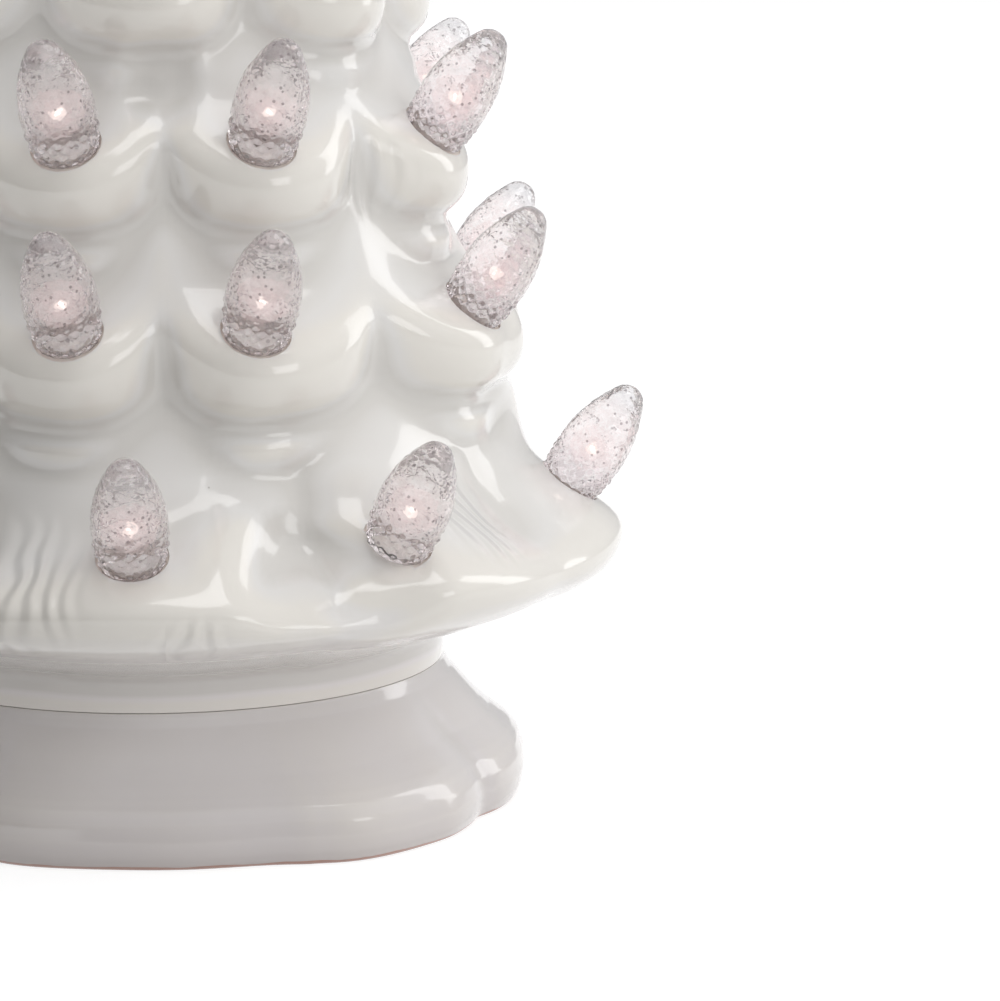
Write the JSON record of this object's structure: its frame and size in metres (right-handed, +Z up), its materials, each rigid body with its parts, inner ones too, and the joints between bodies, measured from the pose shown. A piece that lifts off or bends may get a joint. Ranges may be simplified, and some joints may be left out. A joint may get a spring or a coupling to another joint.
{
  "type": "ceramic christmas tree",
  "caption": "White glazed ceramic tabletop christmas tree with puffy tiered boughs, clear plug-in bulbs and a star, standing on a separate lobed base that holds the light.",
  "frame": {"origin": "on the table under the middle of the base", "axes": "+Z up along the tree's axis, front of the tree towards -Y, +X to the right seen from the front"},
  "size_m": [0.1546, 0.1548, 0.2531],
  "materials": {
    "glazed_white": "thick glossy white glaze over cast earthenware",
    "clear_bulb": "clear hammered acrylic, lit from inside",
    "clear_star": "clear faceted acrylic",
    "white_plastic": "moulded white plastic",
    "frosted_plastic": "frosted diffuser plastic",
    "black_plastic": "moulded black plastic",
    "cell_wrap": "plain grey printed sleeve over steel",
    "plated_steel": "nickel plated steel",
    "board_green": "green solder mask on glass-fibre board",
    "led_epoxy": "clear epoxy lamp"
  },
  "bodies": {
    "base": {"base_shell": "glazed_white", "battery_tray": "white_plastic", "bottom_cover": "white_plastic", "cover_screws": "plated_steel", "battery_cells": "cell_wrap", "contact_plates": "plated_steel", "contact_springs": "plated_steel", "switch_body": "black_plastic", "light_post": "white_plastic", "led_board": "board_green", "leds": "led_epoxy", "diffuser_dome": "frosted_plastic"},
    "tree": {"tree_shell": "glazed_white"},
    "star": {"star_topper": "clear_star"},
    "slider": {"switch_slider": "black_plastic"},
    "door": {"battery_door": "white_plastic"},
    "bulb_tier1_1_body": {"bulb_tier1_1": "clear_bulb"},
    "bulb_tier1_2_body": {"bulb_tier1_2": "clear_bulb"},
    "bulb_tier1_3_body": {"bulb_tier1_3": "clear_bulb"},
    "bulb_tier1_4_body": {"bulb_tier1_4": "clear_bulb"},
    "bulb_tier1_5_body": {"bulb_tier1_5": "clear_bulb"},
    "bulb_tier1_6_body": {"bulb_tier1_6": "clear_bulb"},
    "bulb_tier1_7_body": {"bulb_tier1_7": "clear_bulb"},
    "bulb_tier1_8_body": {"bulb_tier1_8": "clear_bulb"},
    "bulb_tier2_1_body": {"bulb_tier2_1": "clear_bulb"},
    "bulb_tier2_2_body": {"bulb_tier2_2": "clear_bulb"},
    "bulb_tier2_3_body": {"bulb_tier2_3": "clear_bulb"},
    "bulb_tier2_4_body": {"bulb_tier2_4": "clear_bulb"},
    "bulb_tier2_5_body": {"bulb_tier2_5": "clear_bulb"},
    "bulb_tier2_6_body": {"bulb_tier2_6": "clear_bulb"},
    "bulb_tier2_7_body": {"bulb_tier2_7": "clear_bulb"},
    "bulb_tier2_8_body": {"bulb_tier2_8": "clear_bulb"},
    "bulb_tier2_9_body": {"bulb_tier2_9": "clear_bulb"},
    "bulb_tier3_1_body": {"bulb_tier3_1": "clear_bulb"},
    "bulb_tier3_2_body": {"bulb_tier3_2": "clear_bulb"},
    "bulb_tier3_3_body": {"bulb_tier3_3": "clear_bulb"},
    "bulb_tier3_4_body": {"bulb_tier3_4": "clear_bulb"},
    "bulb_tier3_5_body": {"bulb_tier3_5": "clear_bulb"},
    "bulb_tier3_6_body": {"bulb_tier3_6": "clear_bulb"},
    "bulb_tier3_7_body": {"bulb_tier3_7": "clear_bulb"},
    "bulb_tier3_8_body": {"bulb_tier3_8": "clear_bulb"},
    "bulb_tier4_1_body": {"bulb_tier4_1": "clear_bulb"},
    "bulb_tier4_2_body": {"bulb_tier4_2": "clear_bulb"},
    "bulb_tier4_3_body": {"bulb_tier4_3": "clear_bulb"},
    "bulb_tier4_4_body": {"bulb_tier4_4": "clear_bulb"},
    "bulb_tier4_5_body": {"bulb_tier4_5": "clear_bulb"},
    "bulb_tier4_6_body": {"bulb_tier4_6": "clear_bulb"},
    "bulb_tier4_7_body": {"bulb_tier4_7": "clear_bulb"},
    "bulb_tier5_1_body": {"bulb_tier5_1": "clear_bulb"},
    "bulb_tier5_2_body": {"bulb_tier5_2": "clear_bulb"},
    "bulb_tier5_3_body": {"bulb_tier5_3": "clear_bulb"},
    "bulb_tier5_4_body": {"bulb_tier5_4": "clear_bulb"},
    "bulb_tier5_5_body": {"bulb_tier5_5": "clear_bulb"},
    "bulb_tier6_1_body": {"bulb_tier6_1": "clear_bulb"},
    "bulb_tier6_2_body": {"bulb_tier6_2": "clear_bulb"},
    "bulb_tier6_3_body": {"bulb_tier6_3": "clear_bulb"},
    "bulb_tier6_4_body": {"bulb_tier6_4": "clear_bulb"},
    "bulb_tier7_1_body": {"bulb_tier7_1": "clear_bulb"},
    "bulb_tier7_2_body": {"bulb_tier7_2": "clear_bulb"},
    "bulb_tier7_3_body": {"bulb_tier7_3": "clear_bulb"}
  },
  "joints": [
    {"name": "tree_lift", "type": "slide", "parent": "base", "child": "tree", "axis": [0, 0, 1], "range_m": [0, 0.06]},
    {"name": "switch_slide", "type": "slide", "parent": "base", "child": "slider", "axis": [0, 1, 0], "range_m": [-0.002, 0.002]},
    {"name": "door_hinge", "type": "hinge", "parent": "base", "child": "door", "pos_m": [0, 0.02415, 0.0022], "axis": [1, 0, 0], "range_deg": [0, 75]},
    {"name": "star_pull", "type": "slide", "parent": "tree", "child": "star", "axis": [0, 0, 1], "range_m": [0, 0.012]},
    {"name": "bulb_tier1_1_pull", "type": "slide", "parent": "tree", "child": "bulb_tier1_1_body", "axis": [-0.04, -0.5722, 0.8192], "range_m": [0, 0.012]},
    {"name": "bulb_tier1_2_pull", "type": "slide", "parent": "tree", "child": "bulb_tier1_2_body", "axis": [0.2997, -0.4891, 0.8192], "range_m": [0, 0.012]},
    {"name": "bulb_tier1_3_pull", "type": "slide", "parent": "tree", "child": "bulb_tier1_3_body", "axis": [0.5704, -0.06, 0.8192], "range_m": [0, 0.012]},
    {"name": "bulb_tier1_4_pull", "type": "slide", "parent": "tree", "child": "bulb_tier1_4_body", "axis": [0.4329, 0.3763, 0.8192], "range_m": [0, 0.012]},
    {"name": "bulb_tier1_5_pull", "type": "slide", "parent": "tree", "child": "bulb_tier1_5_body", "axis": [0.04, 0.5722, 0.8192], "range_m": [0, 0.012]},
    {"name": "bulb_tier1_6_pull", "type": "slide", "parent": "tree", "child": "bulb_tier1_6_body", "axis": [-0.3763, 0.4329, 0.8192], "range_m": [0, 0.012]},
    {"name": "bulb_tier1_7_pull", "type": "slide", "parent": "tree", "child": "bulb_tier1_7_body", "axis": [-0.5722, 0.04, 0.8192], "range_m": [0, 0.012]},
    {"name": "bulb_tier1_8_pull", "type": "slide", "parent": "tree", "child": "bulb_tier1_8_body", "axis": [-0.4329, -0.3763, 0.8192], "range_m": [0, 0.012]},
    {"name": "bulb_tier2_1_pull", "type": "slide", "parent": "tree", "child": "bulb_tier2_1_body", "axis": [-0.1436, -0.5553, 0.8192], "range_m": [0, 0.012]},
    {"name": "bulb_tier2_2_pull", "type": "slide", "parent": "tree", "child": "bulb_tier2_2_body", "axis": [0.1485, -0.554, 0.8192], "range_m": [0, 0.012]},
    {"name": "bulb_tier2_3_pull", "type": "slide", "parent": "tree", "child": "bulb_tier2_3_body", "axis": [0.5155, -0.2514, 0.8192], "range_m": [0, 0.012]},
    {"name": "bulb_tier2_4_pull", "type": "slide", "parent": "tree", "child": "bulb_tier2_4_body", "axis": [0.5455, 0.1772, 0.8192], "range_m": [0, 0.012]},
    {"name": "bulb_tier2_5_pull", "type": "slide", "parent": "tree", "child": "bulb_tier2_5_body", "axis": [0.3124, 0.481, 0.8192], "range_m": [0, 0.012]},
    {"name": "bulb_tier2_6_pull", "type": "slide", "parent": "tree", "child": "bulb_tier2_6_body", "axis": [-0.06, 0.5704, 0.8192], "range_m": [0, 0.012]},
    {"name": "bulb_tier2_7_pull", "type": "slide", "parent": "tree", "child": "bulb_tier2_7_body", "axis": [-0.4056, 0.4056, 0.8192], "range_m": [0, 0.012]},
    {"name": "bulb_tier2_8_pull", "type": "slide", "parent": "tree", "child": "bulb_tier2_8_body", "axis": [-0.5704, 0.06, 0.8192], "range_m": [0, 0.012]},
    {"name": "bulb_tier2_9_pull", "type": "slide", "parent": "tree", "child": "bulb_tier2_9_body", "axis": [-0.4698, -0.329, 0.8192], "range_m": [0, 0.012]},
    {"name": "bulb_tier3_1_pull", "type": "slide", "parent": "tree", "child": "bulb_tier3_1_body", "axis": [-0.1629, -0.55, 0.8192], "range_m": [0, 0.012]},
    {"name": "bulb_tier3_2_pull", "type": "slide", "parent": "tree", "child": "bulb_tier3_2_body", "axis": [0.1867, -0.5423, 0.8192], "range_m": [0, 0.012]},
    {"name": "bulb_tier3_3_pull", "type": "slide", "parent": "tree", "child": "bulb_tier3_3_body", "axis": [0.5198, -0.2424, 0.8192], "range_m": [0, 0.012]},
    {"name": "bulb_tier3_4_pull", "type": "slide", "parent": "tree", "child": "bulb_tier3_4_body", "axis": [0.5064, 0.2693, 0.8192], "range_m": [0, 0.012]},
    {"name": "bulb_tier3_5_pull", "type": "slide", "parent": "tree", "child": "bulb_tier3_5_body", "axis": [0.1962, 0.539, 0.8192], "range_m": [0, 0.012]},
    {"name": "bulb_tier3_6_pull", "type": "slide", "parent": "tree", "child": "bulb_tier3_6_body", "axis": [-0.2241, 0.528, 0.8192], "range_m": [0, 0.012]},
    {"name": "bulb_tier3_7_pull", "type": "slide", "parent": "tree", "child": "bulb_tier3_7_body", "axis": [-0.5318, 0.2149, 0.8192], "range_m": [0, 0.012]},
    {"name": "bulb_tier3_8_pull", "type": "slide", "parent": "tree", "child": "bulb_tier3_8_body", "axis": [-0.5111, -0.2604, 0.8192], "range_m": [0, 0.012]},
    {"name": "bulb_tier4_1_pull", "type": "slide", "parent": "tree", "child": "bulb_tier4_1_body", "axis": [-0.01, -0.5735, 0.8192], "range_m": [0, 0.012]},
    {"name": "bulb_tier4_2_pull", "type": "slide", "parent": "tree", "child": "bulb_tier4_2_body", "axis": [0.3838, -0.4263, 0.8192], "range_m": [0, 0.012]},
    {"name": "bulb_tier4_3_pull", "type": "slide", "parent": "tree", "child": "bulb_tier4_3_body", "axis": [0.568, 0.0798, 0.8192], "range_m": [0, 0.012]},
    {"name": "bulb_tier4_4_pull", "type": "slide", "parent": "tree", "child": "bulb_tier4_4_body", "axis": [0.2868, 0.4967, 0.8192], "range_m": [0, 0.012]},
    {"name": "bulb_tier4_5_pull", "type": "slide", "parent": "tree", "child": "bulb_tier4_5_body", "axis": [-0.2149, 0.5318, 0.8192], "range_m": [0, 0.012]},
    {"name": "bulb_tier4_6_pull", "type": "slide", "parent": "tree", "child": "bulb_tier4_6_body", "axis": [-0.5514, 0.1581, 0.8192], "range_m": [0, 0.012]},
    {"name": "bulb_tier4_7_pull", "type": "slide", "parent": "tree", "child": "bulb_tier4_7_body", "axis": [-0.464, -0.3371, 0.8192], "range_m": [0, 0.012]},
    {"name": "bulb_tier5_1_pull", "type": "slide", "parent": "tree", "child": "bulb_tier5_1_body", "axis": [-0.2333, -0.524, 0.8192], "range_m": [0, 0.012]},
    {"name": "bulb_tier5_2_pull", "type": "slide", "parent": "tree", "child": "bulb_tier5_2_body", "axis": [0.4126, -0.3984, 0.8192], "range_m": [0, 0.012]},
    {"name": "bulb_tier5_3_pull", "type": "slide", "parent": "tree", "child": "bulb_tier5_3_body", "axis": [0.5064, 0.2693, 0.8192], "range_m": [0, 0.012]},
    {"name": "bulb_tier5_4_pull", "type": "slide", "parent": "tree", "child": "bulb_tier5_4_body", "axis": [-0.0996, 0.5649, 0.8192], "range_m": [0, 0.012]},
    {"name": "bulb_tier5_5_pull", "type": "slide", "parent": "tree", "child": "bulb_tier5_5_body", "axis": [-0.568, 0.0798, 0.8192], "range_m": [0, 0.012]},
    {"name": "bulb_tier6_1_pull", "type": "slide", "parent": "tree", "child": "bulb_tier6_1_body", "axis": [0.1193, -0.561, 0.8192], "range_m": [0, 0.012]},
    {"name": "bulb_tier6_2_pull", "type": "slide", "parent": "tree", "child": "bulb_tier6_2_body", "axis": [0.561, 0.1193, 0.8192], "range_m": [0, 0.012]},
    {"name": "bulb_tier6_3_pull", "type": "slide", "parent": "tree", "child": "bulb_tier6_3_body", "axis": [-0.1581, 0.5514, 0.8192], "range_m": [0, 0.012]},
    {"name": "bulb_tier6_4_pull", "type": "slide", "parent": "tree", "child": "bulb_tier6_4_body", "axis": [-0.5565, -0.1388, 0.8192], "range_m": [0, 0.012]},
    {"name": "bulb_tier7_1_pull", "type": "slide", "parent": "tree", "child": "bulb_tier7_1_body", "axis": [-0.1962, -0.539, 0.8192], "range_m": [0, 0.012]},
    {"name": "bulb_tier7_2_pull", "type": "slide", "parent": "tree", "child": "bulb_tier7_2_body", "axis": [0.568, 0.0798, 0.8192], "range_m": [0, 0.012]},
    {"name": "bulb_tier7_3_pull", "type": "slide", "parent": "tree", "child": "bulb_tier7_3_body", "axis": [-0.3838, 0.4263, 0.8192], "range_m": [0, 0.012]}
  ]
}
